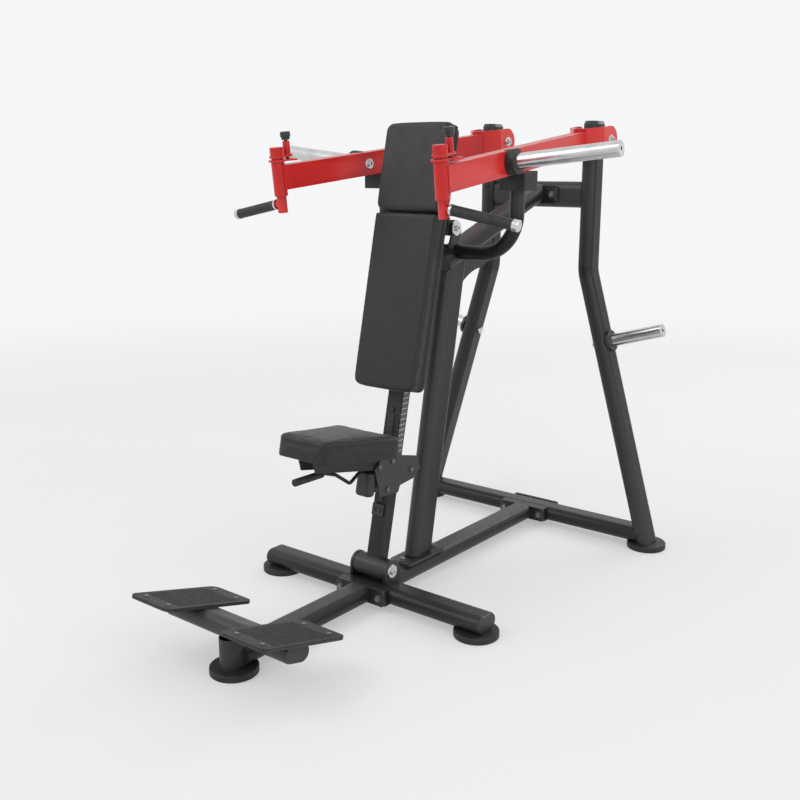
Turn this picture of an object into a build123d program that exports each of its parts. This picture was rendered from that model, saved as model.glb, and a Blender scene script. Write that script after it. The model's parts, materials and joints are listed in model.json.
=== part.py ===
"""Plate-loaded shoulder press: splayed rear frame, rocking seat column, two independent press arms.

Millimetres. X is to the user's right as seen by someone facing the seat, Y runs from the foot plates
to the rear uprights, Z is up. The origin is on the floor under the middle of the machine.
"""
from build123d import *
from math import atan2, cos, degrees, hypot, radians, sin, tan
import os

# ---------------------------------------------------------------- driving dimensions
wall = 3.0                    # wall of every frame tube
oval_long = 100.0             # flat-oval frame tube, long side
oval_short = 60.0             # flat-oval frame tube, short side
upright_long = 120.0          # long side of the main upright's tube
beam_z = 52.0                 # height of the base beams' centre lines
foot_d, foot_h = 150.0, 22.0  # floor discs

front_cross_y = -168.0        # front cross beam
front_cross_half = 472.0
front_foot_x = 437.0
post_y = -812.0               # front post
post_top = 120.0
rear_cross_y = 890.0          # rear cross beam, splayed legs and upright posts
rear_foot_x = 538.0
beam_top = beam_z + oval_short / 2

plate_tilt = 15.3             # foot plates, front edge raised
plate_w, plate_l = 182.0, 347.0
plate_x = 198.5               # centre of each foot plate
plate_y, plate_z = -797.5, 178.5
plate_t, tread_t = 5.0, 5.0
foot_tube_half = 255.0

upright_lean = 10.6           # main upright
upright_foot_y = 91.0
neck_rise = 19.8              # neck tube, from the main upright back to the top cross tube
neck_y, neck_z = 326.0, 1186.0  # a point on its centre line
neck_lead = 122.0             # how far it runs ahead of that point

post_x = 229.0                # upright posts of the rear frame
bend_z = 1078.0               # where the legs splay outwards
bend_r = 180.0
post_h = 1634.0
top_tube_z = 1371.0
storage_z = 803.0             # storage horns on the legs
horn_r = 25.0                 # fits 50 mm plate holes
storage_len = 213.0

yoke_r = 25.0                 # bent tube that carries the arm stops
yoke_y, yoke_z = 262.0, 1184.0
yoke_half, yoke_bend, yoke_top = 283.0, 138.0, 1400.0
stop_x, stop_y, stop_w, stop_d = 293.0, 250.0, 100.0, 84.0

recline = 12.4                # seat column and back rest
hinge_y, hinge_z = -156.0, 122.0
hinge_r = 38.0
ear_r, ear_in, ear_out = 40.0, 68.0, 78.0
hinge_shaft_r = 12.5
running = 0.05                # radial clearance of shafts in their bushes
column_w, column_d, column_l = 60.0, 50.0, 1452.0
column_t = 8.0                # middle of the column's section, behind the hinge axis
bumper_s, bumper_t, bumper_r = 1207.0, 157.5, 28.0  # along and behind the column axis
pad_low, pad_seam, pad_top = 619.0, 1218.0, 1518.0  # along the column axis
pad_w, pad_t, board_t = 260.0, 62.0, 9.0
pad_screw_s = (pad_low + 110, pad_seam - 110, pad_seam + 60, pad_top - 90)
pad_screw_x = 55.0
screw_r, screw_hole_r, screw_head_r = 4.0, 4.2, 8.0

seat_tilt = 7.8
seat_front_y, seat_front_z = -518.0, 589.0  # front lower edge of the seat
seat_l, seat_front_half, seat_rear_half = 340.0, 104.0, 144.0
seat_board_t, seat_board_inset, seat_pad_t = 12.0, 12.0, 58.0
seat_screws_at = [(x, d) for x in (-20, 20) for d in (70, 270)]  # across, and behind the front edge
carriage_in, carriage_t = 33.0, 6.0
lever_y, lever_z = -175.0, 494.0  # release lever's pivot
ladder_pitch = 18.5
latch_low, latch_len = 252.0, 80.0
guide_t = 12.0
gap = 0.3                     # gap between curved faces that move past each other

arm_pitch = 6.8               # press arms at rest on their stops, handles low
pivot_y, pivot_z = 890.0, 1576.0
sleeve_x, sleeve_back = 333.0, 1136.0  # handle sleeve: from the centre, and ahead of the pivot
arm_w, arm_h = 50.0, 80.0
fork_in, fork_out, fork_h = 62.0, 72.0, 103.0
horn_back, horn_len = 743.0, 375.0     # plate horn: ahead of the pivot, and its length
horn_up = 5.5
collar_out, horn_root_r = 55.0, 24.0     # outer face of a horn's collar, and its radius inside that
sleeve_r, spindle_r = 22.5, 12.0
pin_reach = 48.0              # pull pin, from the sleeve's axis
index_r, index_step = 62.0, 20.0
grip_r, grip_start, grip_len = 16.5, 32.0, 202.0

flange_w, flange_h, flange_t = 210.0, 56.0, 10.0
flange_bolt_x, neck_bolt_x = 84.0, 78.0
bolt_r, bolt_hole_r = 6.0, 6.5
pivot_bolt_r, pivot_hole_r = 8.0, 8.2

os.makedirs("parts", exist_ok=True)


def save(builder, name):
    """Label a finished piece and write it."""
    builder.part.label = name
    export_step(builder.part, f"parts/{name}.step")


# ---------------------------------------------------------------- planes
def along_x(x, y, z, tilt=0.0):
    """A plane facing +X whose sketch x runs rearwards, and down by the tilt."""
    t = radians(tilt)
    return Plane(origin=(x, y, z), x_dir=(0, cos(t), -sin(t)), z_dir=(1, 0, 0))


def along_y(x, y, z, rise=0.0):
    """A plane facing rearwards, and up by the rise, whose sketch x is X."""
    t = radians(rise)
    return Plane(origin=(x, y, z), x_dir=(1, 0, 0), z_dir=(0, cos(t), sin(t)))


def along_z(x, y, z, lean=0.0):
    """A plane facing up, leaning rearwards, whose sketch x is X and sketch y points rearwards."""
    t = radians(lean)
    return Plane(origin=(x, y, z), x_dir=(1, 0, 0), z_dir=(0, sin(t), cos(t)))


def on_column(s, t=0.0, x=0.0):
    """A plane facing up the seat column, s along its axis from the hinge and t behind it."""
    a = radians(recline)
    return along_z(x, hinge_y + s * sin(a) + t * cos(a), hinge_z + s * cos(a) - t * sin(a), recline)


def column_side(x=0.0):
    """A plane facing +X at the hinge: sketch x is behind the column's axis, sketch y is up it."""
    a = radians(recline)
    return Plane(origin=(x, hinge_y, hinge_z), x_dir=(0, cos(a), -sin(a)), z_dir=(1, 0, 0))


# ---------------------------------------------------------------- shared shapes
def oval_tube(plane, length, long=oval_long, short=oval_short, turn=0.0):
    """Add an open flat-oval tube to the part being built."""
    with BuildSketch(plane) as section:
        SlotOverall(long, short, rotation=turn)
        SlotOverall(long - 2 * wall, short - 2 * wall, rotation=turn, mode=Mode.SUBTRACT)
    extrude(section.sketch, amount=length)


def oval_bar(plane, length, long=oval_long, short=oval_short, turn=0.0):
    """The solid outline of such a tube, for cutting its neighbours to fit."""
    with BuildPart(mode=Mode.PRIVATE) as bar:
        with BuildSketch(plane) as section:
            SlotOverall(long, short, rotation=turn)
        extrude(section.sketch, amount=length)
    return bar.part


def block(plane, width, depth, height, radius=0.0, mode=Mode.ADD):
    """Add or cut a block that stands on the plane, its upright edges rounded."""
    with BuildSketch(plane) as outline:
        if radius:
            RectangleRounded(width, depth, radius)
        else:
            Rectangle(width, depth)
    extrude(outline.sketch, amount=height, mode=mode)


def rod(plane, radius, length, mode=Mode.ADD):
    """Add or cut a round bar that stands on the plane."""
    with BuildSketch(plane) as outline:
        Circle(radius)
    extrude(outline.sketch, amount=length, mode=mode)


def ring(plane, outer, inner, length):
    """Add a round tube that stands on the plane."""
    with BuildSketch(plane) as outline:
        Circle(outer)
        Circle(inner, mode=Mode.SUBTRACT)
    extrude(outline.sketch, amount=length)


def flange(plane, bolt_x=flange_bolt_x):
    """Add a bolting plate with its two holes."""
    with BuildSketch(plane) as outline:
        RectangleRounded(flange_w, flange_h, 8)
        with Locations((bolt_x, 0), (-bolt_x, 0)):
            Circle(bolt_hole_r, mode=Mode.SUBTRACT)
    extrude(outline.sketch, amount=flange_t)


def hex_bolt(plane, length, nut=True):
    """Add a hexagon bolt with its head below the plane, and its nut at the far end."""
    rod(plane, 12, -2.5)
    with BuildSketch(plane.offset(-2.5)) as head:
        RegularPolygon(10.4, 6)
    extrude(head.sketch, amount=-7.5)
    rod(plane, bolt_r, length + (12 if nut else 0))
    if nut:
        rod(plane.offset(length), 12, 2.5)
        with BuildSketch(plane.offset(length + 2.5)) as end:
            RegularPolygon(10.4, 6)
        extrude(end.sketch, amount=8)


def socket_bolt(plane, washer_r, head_r, head_h, length):
    """Add a socket-head screw with a domed washer; its shank runs back below the plane."""
    with BuildSketch(plane) as washer:
        Circle(washer_r)
    extrude(washer.sketch, amount=4, taper=25)
    rod(plane, head_r, head_h)
    rod(plane, pivot_bolt_r, -length)
    with BuildSketch(plane.offset(head_h)) as socket:
        RegularPolygon(head_r * 0.55, 6)
    extrude(socket.sketch, amount=-head_h / 2, mode=Mode.SUBTRACT)


# ---------------------------------------------------------------- outlines that neighbours are cut to
post_bar = oval_bar(along_z(0, post_y, foot_h), post_top - foot_h, turn=90)
foot_normal = (sin(radians(plate_tilt)), cos(radians(plate_tilt)))
foot_drop = plate_t + tread_t + oval_short / 2
foot_tube_y = plate_y - foot_drop * foot_normal[0]
foot_tube_z = plate_z - foot_drop * foot_normal[1]
foot_tube_bar = oval_bar(along_x(-foot_tube_half, foot_tube_y, foot_tube_z, plate_tilt), 2 * foot_tube_half)
front_cross_bar = oval_bar(along_x(-front_cross_half, front_cross_y, beam_z), 2 * front_cross_half)
rear_cross_bar = oval_bar(along_x(-rear_foot_x, rear_cross_y, beam_z), 2 * rear_foot_x)
top_tube_bar = oval_bar(along_x(-post_x, rear_cross_y, top_tube_z), 2 * post_x, turn=90)
neck_start = along_y(0, neck_y, neck_z, neck_rise).offset(-neck_lead)
neck_flange_y = rear_cross_y - oval_short / 2 - flange_t
neck_length = neck_lead + (neck_flange_y - neck_y) / cos(radians(neck_rise)) + oval_short
neck_bar = oval_bar(neck_start, neck_length)
upright_bar = oval_bar(along_z(0, upright_foot_y, beam_top + flange_t, upright_lean), 1250,
                       upright_long, turn=90)
upright_inside = oval_bar(along_z(0, upright_foot_y, beam_top, upright_lean), 1300,
                          upright_long - 2 * wall, oval_short - 2 * wall, turn=90)

# ---------------------------------------------------------------- base frame
with BuildPart() as front_post:
    oval_tube(along_z(0, post_y, foot_h), post_top - foot_h, turn=90)
    add(foot_tube_bar, mode=Mode.SUBTRACT)
save(front_post, "front_post")

with BuildPart() as foot_cross_tube:
    oval_tube(along_x(-foot_tube_half, foot_tube_y, foot_tube_z, plate_tilt), 2 * foot_tube_half)
save(foot_cross_tube, "foot_cross_tube")

front_flange_y = front_cross_y - oval_long / 2 - 2 * flange_t
with BuildPart() as front_beam:
    oval_tube(along_y(0, post_y + 12, beam_z), front_flange_y - post_y - 12)
    block(along_y(0, post_y + 12, beam_z), oval_long - 2 * wall, oval_short - 2 * wall, wall, 26)
    add(post_bar, mode=Mode.SUBTRACT)
    flange(along_y(0, front_flange_y, beam_z))
save(front_beam, "front_beam")


def flange_seat(y_face, cross_bar):
    """Add the welded seat behind a bolting plate: a plate with lips that reach the cross beam."""
    depth = oval_long / 2
    block(along_y(0, y_face, beam_z), flange_w, flange_h, depth, 0)
    block(along_y(0, y_face + flange_t + 2, beam_z), flange_w - 12, flange_h - 12, depth, 0, Mode.SUBTRACT)
    add(cross_bar, mode=Mode.SUBTRACT)
    for x in (-flange_bolt_x, flange_bolt_x):
        rod(along_y(x, y_face, beam_z), bolt_hole_r, flange_t + 2, Mode.SUBTRACT)


with BuildPart() as front_cross_beam:
    flange_seat(front_flange_y + flange_t, front_cross_bar)
    # two ears on top carry the seat column's hinge
    for x in (-ear_out, ear_in):
        with BuildSketch(along_x(x, hinge_y, hinge_z)) as ear:
            Circle(ear_r)
            with Locations((0, -35)):
                Rectangle(2 * ear_r, 70)
            Circle(pivot_hole_r, mode=Mode.SUBTRACT)
        extrude(ear.sketch, amount=ear_out - ear_in)
    add(front_cross_bar, mode=Mode.SUBTRACT)
    oval_tube(along_x(-front_cross_half, front_cross_y, beam_z), 2 * front_cross_half)
save(front_cross_beam, "front_cross_beam")

rear_flange_y = rear_cross_y - oval_long / 2 - 2 * flange_t
with BuildPart() as rear_beam:
    oval_tube(along_y(0, front_cross_y + 30, beam_z), rear_flange_y - front_cross_y - 30)
    add(front_cross_bar, mode=Mode.SUBTRACT)
    flange(along_y(0, rear_flange_y, beam_z))
    for y in (upright_foot_y - 90, upright_foot_y + 90):
        rod(along_z(0, y, beam_top - 10), bolt_hole_r, 20, Mode.SUBTRACT)
save(rear_beam, "rear_beam")

# splayed legs that bend into upright posts
leg_slope = (rear_foot_x - post_x) / (bend_z - foot_h)
leg_angle = degrees(atan2(rear_foot_x - post_x, bend_z - foot_h))


def leg_path(side, overrun):
    """The centre line of a rear upright, from below the floor disc to its top."""
    with BuildLine(Plane.XZ.offset(-rear_cross_y)) as path:
        FilletPolyline(
            (side * (rear_foot_x + overrun * leg_slope), foot_h - overrun),
            (side * post_x, bend_z),
            (side * post_x, post_h),
            radius=bend_r,
        )
    return path.line


def swept_oval(path, long, short):
    """Add the flat-oval section swept along a rear upright's centre line."""
    start = Plane(origin=path @ 0, x_dir=(0, 1, 0), z_dir=path % 0)
    with BuildSketch(start) as section:
        SlotOverall(long, short)
    return sweep(section.sketch, path=path, mode=Mode.PRIVATE)


leg_bars = {side: swept_oval(leg_path(side, 40), oval_long, oval_short) for side in (-1, 1)}

with BuildPart() as rear_cross_beam:
    flange_seat(rear_flange_y + flange_t, rear_cross_bar)
    block(along_y(0, rear_cross_y + oval_long / 2 - 6, beam_z), flange_w, flange_h, 12, 6)
    add(rear_cross_bar, mode=Mode.SUBTRACT)
    oval_tube(along_x(-rear_foot_x, rear_cross_y, beam_z), 2 * rear_foot_x)
    for bar in leg_bars.values():
        add(bar, mode=Mode.SUBTRACT)
    for x in (-rear_foot_x - 90, rear_foot_x - 15):
        block(along_x(x, rear_cross_y, beam_z), 200, 200, 105, 0, Mode.SUBTRACT)
    for x in (-flange_bolt_x, flange_bolt_x):
        rod(along_y(x, rear_cross_y - 60, beam_z), bolt_hole_r, 140, Mode.SUBTRACT)
save(rear_cross_beam, "rear_cross_beam")

housing_r, housing_bore, housing_half = 30.0, 23.5, 57.0


def storage_plane(side, out):
    """A plane facing out of a leg, square to it, at a distance from its centre line."""
    a = radians(leg_angle)
    x = post_x + (bend_z - storage_z) * leg_slope
    return Plane(
        origin=(side * (x + out * cos(a)), rear_cross_y, storage_z + out * sin(a)),
        x_dir=(0, 1, 0),
        z_dir=(side * cos(a), 0, sin(a)),
    )


for name, side in (("left", -1), ("right", 1)):
    with BuildPart() as rear_upright:
        add(leg_bars[side])
        add(swept_oval(leg_path(side, 40), oval_long - 2 * wall, oval_short - 2 * wall), mode=Mode.SUBTRACT)
        block(along_z(side * rear_foot_x, rear_cross_y, foot_h - 200), 300, 300, 200, 0, Mode.SUBTRACT)
        # bearing housing through the top, and the storage horn's flange
        rod(along_x(side * post_x - housing_half, pivot_y, pivot_z), housing_r, 2 * housing_half)
        rod(along_x(side * post_x - housing_half, pivot_y, pivot_z), housing_bore, 2 * housing_half,
            Mode.SUBTRACT)
        rod(storage_plane(side, oval_short / 2 - 1), 41, 12)
        rod(storage_plane(side, -50), pivot_hole_r, 100, Mode.SUBTRACT)
    save(rear_upright, f"{name}_rear_upright")

with BuildPart() as storage_horns:
    for side in (-1, 1):
        ring(storage_plane(side, oval_short / 2 + 11), horn_r, horn_r - 4, storage_len)
        rod(storage_plane(side, oval_short / 2 + 11), horn_r, 8)
        ring(storage_plane(side, oval_short / 2 + 5 + storage_len), horn_r, 6, 6)
        rod(storage_plane(side, -oval_short / 2), pivot_bolt_r, oval_short + 12)
        rod(storage_plane(side, -oval_short / 2), 15, -12)
save(storage_horns, "storage_horns")

with BuildPart() as top_cross_tube:
    oval_tube(along_x(-post_x, rear_cross_y, top_tube_z), 2 * post_x, turn=90)
    for bar in leg_bars.values():
        add(bar, mode=Mode.SUBTRACT)
    for x in (-post_x - 60, post_x - 20):
        block(along_x(x, rear_cross_y, top_tube_z), 200, 200, 80, 0, Mode.SUBTRACT)
    for x in (-neck_bolt_x, neck_bolt_x):
        rod(along_y(x, rear_cross_y - 60, top_tube_z), bolt_hole_r, 120, Mode.SUBTRACT)
save(top_cross_tube, "top_cross_tube")

with BuildLine(Plane.XZ.offset(-yoke_y)) as yoke_path:
    FilletPolyline(
        (-yoke_half, yoke_top),
        (-yoke_half, yoke_z),
        (yoke_half, yoke_z),
        (yoke_half, yoke_top),
        radius=yoke_bend,
    )


def swept_round(line, radius):
    """The solid that a circle sweeps along a line."""
    start = Plane(origin=line @ 0, z_dir=line % 0)
    with BuildSketch(start) as section:
        Circle(radius)
    return sweep(section.sketch, path=line, mode=Mode.PRIVATE)


yoke_bar = swept_round(yoke_path.line, yoke_r)
lug_drop = 78.0                # from the bumper's axis down to the yoke

with BuildPart() as yoke_tube:
    add(yoke_bar)
    add(swept_round(yoke_path.line, yoke_r - wall), mode=Mode.SUBTRACT)
save(yoke_tube, "yoke_tube")

with BuildPart() as neck_tube:
    oval_tube(neck_start, neck_length)
    block(neck_start, oval_long - 2 * wall, oval_short - 2 * wall, wall, 26)
    add(yoke_bar, mode=Mode.SUBTRACT)
    block(along_y(0, neck_flange_y + flange_t, top_tube_z), 400, 400, 200, 0, Mode.SUBTRACT)
    with BuildSketch(along_y(0, neck_flange_y, top_tube_z)) as plate:
        RectangleRounded(flange_w - 10, 68, 8)
        with Locations((neck_bolt_x, 0), (-neck_bolt_x, 0)):
            Circle(bolt_hole_r, mode=Mode.SUBTRACT)
    extrude(plate.sketch, amount=flange_t)
    # two lugs hold the bumper that the seat column leans on
    with BuildPart(mode=Mode.PRIVATE) as lug_shape:
        with BuildSketch(column_side(30)) as lug:
            with Locations((bumper_t, bumper_s)):
                Circle(24)
            with Locations((bumper_t + 5, bumper_s - lug_drop / 2)):
                Rectangle(48, lug_drop, rotation=-8)
            with Locations((bumper_t, bumper_s)):
                Circle(pivot_hole_r, mode=Mode.SUBTRACT)
        extrude(lug.sketch, amount=8)
        mirror(about=Plane.YZ)
        add(neck_bar, mode=Mode.SUBTRACT)
        add(yoke_bar, mode=Mode.SUBTRACT)
        block(along_z(0, 250, 1000), 300, 500, 160, 0, Mode.SUBTRACT)
    add(lug_shape.part)
save(neck_tube, "neck_tube")

with BuildPart() as main_upright:
    oval_tube(along_z(0, upright_foot_y, beam_top + flange_t / 2, upright_lean), 1150, upright_long, turn=90)
    # gusset behind it, up to the neck's underside
    with BuildSketch(Plane.YZ.offset(-5)) as gusset:
        with BuildLine():
            Polyline((320, 1290), (270, 1010), (350, 1066), (360, 1075))
            ThreePointArc((360, 1075), (405, 1098), (472, 1112))
            Polyline((472, 1112), (532, 1138), (552, 1290), (320, 1290))
        make_face()
    extrude(gusset.sketch, amount=10)
    add(upright_inside, mode=Mode.SUBTRACT)
    add(neck_bar, mode=Mode.SUBTRACT)
    add(yoke_bar, mode=Mode.SUBTRACT)
    # everything above the neck goes: the wedge above its underside
    with BuildPart(mode=Mode.PRIVATE) as above_neck:
        block(along_y(0, neck_y, neck_z, neck_rise).offset(-400), 300, 400, 1000)
    add(above_neck.part.moved(Location((0, -200 * sin(radians(neck_rise)), 200 * cos(radians(neck_rise))))),
        mode=Mode.SUBTRACT)
    block(along_z(0, upright_foot_y, beam_top - 60), 300, 400, 60, 0, Mode.SUBTRACT)
    block(along_z(0, upright_foot_y, beam_top), 96, 226, flange_t, 20)
    for y in (upright_foot_y - 90, upright_foot_y + 90):
        rod(along_z(0, y, beam_top), bolt_hole_r, flange_t, Mode.SUBTRACT)
save(main_upright, "main_upright")

with BuildPart() as stop_blocks:
    with BuildPart(mode=Mode.PRIVATE) as above_stop:
        reach = pivot_y - stop_y
        under = pivot_z - reach * tan(radians(arm_pitch)) - (arm_h / 2 + gap) / cos(radians(arm_pitch))
        block(along_z(0, stop_y, under, -arm_pitch), 900, 200, 100)
    for x in (-stop_x, stop_x):
        block(along_z(x, stop_y, yoke_top), stop_w, stop_d, 80, 6)
    add(above_stop.part, mode=Mode.SUBTRACT)
save(stop_blocks, "stop_blocks")

with BuildPart() as foot_discs:
    for x, y in (
        (0, -815),
        (-front_foot_x, front_cross_y),
        (front_foot_x, front_cross_y),
        (-rear_foot_x, rear_cross_y),
        (rear_foot_x, rear_cross_y),
    ):
        rod(along_z(x, y, 0), foot_d / 2, foot_h)
    chamfer(foot_discs.edges().filter_by(GeomType.CIRCLE), length=2)
save(foot_discs, "foot_discs")


def oval_cap(plane, turn=0.0, height=6.0):
    """Add a push-in cap for the end of a flat-oval tube."""
    with BuildSketch(plane) as cover:
        SlotOverall(oval_long, oval_short, rotation=turn)
    extrude(cover.sketch, amount=height, taper=25)
    with BuildSketch(plane) as plug:
        SlotOverall(oval_long - 2 * wall - 1, oval_short - 2 * wall - 1, rotation=turn)
        SlotOverall(oval_long - 2 * wall - 7, oval_short - 2 * wall - 7, rotation=turn, mode=Mode.SUBTRACT)
    extrude(plug.sketch, amount=-18)


with BuildPart() as tube_caps:
    oval_cap(along_x(front_cross_half, front_cross_y, beam_z))
    oval_cap(Plane(origin=(-front_cross_half, front_cross_y, beam_z), x_dir=(0, 1, 0), z_dir=(-1, 0, 0)))
    tube_end = along_x(foot_tube_half, foot_tube_y, foot_tube_z, plate_tilt)
    oval_cap(tube_end)
    oval_cap(Plane(origin=tube_end.origin - Vector(2 * foot_tube_half, 0, 0), x_dir=tube_end.x_dir,
                   z_dir=(-1, 0, 0)))
    for x in (-post_x, post_x):
        oval_cap(along_z(x, rear_cross_y, post_h), 90, 12)
save(tube_caps, "tube_caps")

# ---------------------------------------------------------------- foot plates
screw_spots = [
    (side * plate_x + x, y)
    for side in (-1, 1)
    for x in (-51, 51)
    for y in (-138, 138)
]
tread_top = along_z(0, plate_y, plate_z, plate_tilt)

with BuildPart() as foot_plates:
    with BuildSketch(tread_top.offset(-tread_t - plate_t)) as plates:
        with Locations((-plate_x, 0), (plate_x, 0)):
            RectangleRounded(plate_w, plate_l, 25)
        with Locations(*screw_spots):
            Circle(screw_hole_r, mode=Mode.SUBTRACT)
    extrude(plates.sketch, amount=plate_t)
save(foot_plates, "foot_plates")

with BuildPart() as foot_treads:
    with BuildSketch(tread_top.offset(-tread_t)) as treads:
        with Locations((-plate_x, 0), (plate_x, 0)):
            RectangleRounded(plate_w, plate_l, 25)
        with Locations(*screw_spots):
            Circle(screw_hole_r, mode=Mode.SUBTRACT)
    extrude(treads.sketch, amount=tread_t)
    with BuildSketch(tread_top.offset(-1.5)) as grooves:
        for side in (-1, 1):
            for i in range(-9, 10):
                with Locations((side * plate_x, i * 12.5)):
                    Rectangle(plate_w - 26, 5)
    extrude(grooves.sketch, amount=3, mode=Mode.SUBTRACT)
save(foot_treads, "foot_treads")

with BuildPart() as foot_screws:
    for x, y in screw_spots:
        with BuildSketch(tread_top) as head:
            with Locations((x, y)):
                Circle(8)
        extrude(head.sketch, amount=3, taper=20)
        with BuildSketch(tread_top) as shank:
            with Locations((x, y)):
                Circle(4)
        extrude(shank.sketch, amount=-14)
save(foot_screws, "foot_screws")

# ---------------------------------------------------------------- fixings of the frame
with BuildPart() as frame_bolts:
    for x in (-flange_bolt_x, flange_bolt_x):
        hex_bolt(along_y(x, front_flange_y, beam_z), 2 * flange_t - 1, nut=False)
        hex_bolt(along_y(x, rear_flange_y, beam_z), rear_cross_y + oval_long / 2 + 6 - rear_flange_y)
    for y in (upright_foot_y - 90, upright_foot_y + 90):
        hex_bolt(Plane(origin=(0, y, beam_top + flange_t), x_dir=(1, 0, 0), z_dir=(0, 0, -1)), flange_t + wall)
    for x in (-neck_bolt_x, neck_bolt_x):
        hex_bolt(along_y(x, neck_flange_y, top_tube_z), oval_short + flange_t)
save(frame_bolts, "frame_bolts")

with BuildPart() as hinge_shaft:
    ring(along_x(-ear_in, hinge_y, hinge_z), hinge_shaft_r, pivot_hole_r, 2 * ear_in)
save(hinge_shaft, "hinge_shaft")

bumper_mid = on_column(bumper_s, bumper_t)
with BuildPart() as bumper:
    ring(along_x(-29.8, bumper_mid.origin.Y, bumper_mid.origin.Z), bumper_r, pivot_hole_r, 59.6)
save(bumper, "bumper")

with BuildPart() as frame_pivot_bolts:
    for side in (-1, 1):
        for x, y, z, washer in (
            (ear_out, hinge_y, hinge_z, 24),
            (38, bumper_mid.origin.Y, bumper_mid.origin.Z, 28),
        ):
            socket_bolt(Plane(origin=(side * x, y, z), x_dir=(0, 1, 0), z_dir=(side, 0, 0)), washer, 11, 11, 30)
save(frame_pivot_bolts, "frame_pivot_bolts")

with BuildPart() as arm_bushes:
    for x in (-post_x, post_x):
        for side in (-1, 1):
            mouth = Plane(origin=(x + side * housing_half, pivot_y, pivot_z), x_dir=(0, 1, 0), z_dir=(side, 0, 0))
            ring(mouth, 28, 15 + running, 4.5)
            ring(mouth, housing_bore, 15 + running, -25)
save(arm_bushes, "arm_bushes")

# ---------------------------------------------------------------- rocking seat column
side_view = column_side()
with BuildPart() as column:
    block(on_column(20, column_t), column_w, column_d, column_l - 20, 5)
    block(on_column(20, column_t), column_w - 2 * wall, column_d - 2 * wall, column_l - 20, 2, Mode.SUBTRACT)
    rod(along_x(-66, hinge_y, hinge_z), hinge_r, 132)
    rod(along_x(-66, hinge_y, hinge_z), 20, 132, Mode.SUBTRACT)
    # striker that leans on the bumper
    with BuildSketch(side_view.offset(-22)) as arm_profile:
        with BuildLine():
            Polyline((33, bumper_s - 60), (122, bumper_s - 28), (122, bumper_s + 28), (33, bumper_s + 40),
                     (33, bumper_s - 60))
        make_face()
    extrude(arm_profile.sketch, amount=6)
    extrude(arm_profile.sketch.moved(Location((38, 0, 0))), amount=6)
    with BuildSketch(side_view.offset(-27)) as striker:
        with Locations((bumper_t - bumper_r - gap - 4, bumper_s)):
            Rectangle(8, 62)
    extrude(striker.sketch, amount=54)
    # tabs for the two pad boards
    for s in pad_screw_s:
        block(on_column(s - 20, -17 - 3), 140, 6, 40)
        for x in (-pad_screw_x, pad_screw_x):
            with BuildSketch(Plane(origin=on_column(s, -23, x).origin, x_dir=(1, 0, 0),
                                   z_dir=side_view.x_dir)) as hole:
                Circle(screw_hole_r)
            extrude(hole.sketch, amount=6, mode=Mode.SUBTRACT)
save(column, "column")


def facing_pads(s, t):
    """A plane square to the pads that faces rearwards, s up the column and t behind its axis."""
    return Plane(origin=on_column(s, t).origin, x_dir=(1, 0, 0), z_dir=side_view.x_dir)


with BuildPart() as column_bushes:
    for side in (-1, 1):
        mouth = Plane(origin=(side * 66, hinge_y, hinge_z), x_dir=(0, 1, 0), z_dir=(side, 0, 0))
        ring(mouth, 28, hinge_shaft_r + running, 1.7)
        ring(mouth, 20, hinge_shaft_r + running, -30)
save(column_bushes, "column_bushes")

ladder_low, ladder_high = 233.0, 538.0
with BuildPart() as column_ladder:
    block(on_column(ladder_low, -19.5), 24, 5, ladder_high - ladder_low)
    for i in range(16):
        block(on_column(ladder_low + 10 + i * ladder_pitch, -21), 30, 3, 8, 0, Mode.SUBTRACT)
save(column_ladder, "column_ladder")

with BuildPart() as column_strips:
    block(on_column(170, 39), 30, guide_t, 470)
    block(on_column(330, column_t, 31), 2, 30, 290)
save(column_strips, "column_strips")

with BuildPart() as column_stops:
    block(on_column(182, -24), 44, 14, 40, 3)
    for x in (-12, 12):
        rod(Plane(origin=on_column(202, -31, x).origin, x_dir=(1, 0, 0), z_dir=-side_view.x_dir), 6, 4)
    rod(Plane(origin=on_column(552, -17).origin, x_dir=(1, 0, 0), z_dir=-side_view.x_dir), 9, 6)
    block(on_column(column_l, column_t), column_w + 4, column_d + 4, 4, 6)
save(column_stops, "column_stops")

board_back = -23.0
with BuildPart() as pad_board:
    middle = (pad_low + pad_top) / 2
    block(facing_pads(middle, board_back), pad_w - 8, pad_top - pad_low - 8, -board_t, 26)
    for s in pad_screw_s:
        for x in (-pad_screw_x, pad_screw_x):
            rod(Plane(origin=on_column(s, board_back, x).origin, x_dir=(1, 0, 0), z_dir=side_view.x_dir),
                screw_hole_r, -7, Mode.SUBTRACT)
save(pad_board, "pad_board")


def cushion(low, high, round_high):
    """Add a cushion whose outer corners are rounded at one end only."""
    middle = (low + high) / 2
    with BuildSketch(facing_pads(middle, board_back - board_t)) as outline:
        Rectangle(pad_w, high - low)
        ends = outline.vertices().sort_by(Axis.Z)
        fillet(ends[2:] if round_high else ends[:2], radius=28)
    extrude(outline.sketch, amount=-pad_t)


with BuildPart() as back_cushion:
    cushion(pad_low, pad_seam - 1, False)
    face = back_cushion.faces().sort_by(Axis((0, 0, 0), tuple(side_view.x_dir)))[0]
    fillet(face.edges(), radius=9)
save(back_cushion, "back_cushion")

with BuildPart() as head_cushion:
    cushion(pad_seam + 1, pad_top, True)
    face = head_cushion.faces().sort_by(Axis((0, 0, 0), tuple(side_view.x_dir)))[0]
    fillet(face.edges(), radius=9)
save(head_cushion, "head_cushion")

with BuildPart() as pad_screws:
    for s in pad_screw_s:
        for x in (-pad_screw_x, pad_screw_x):
            behind = Plane(origin=on_column(s, -17, x).origin, x_dir=(1, 0, 0), z_dir=side_view.x_dir)
            rod(behind, screw_head_r, 4)
            rod(behind, screw_r, -12)
save(pad_screws, "pad_screws")

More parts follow.
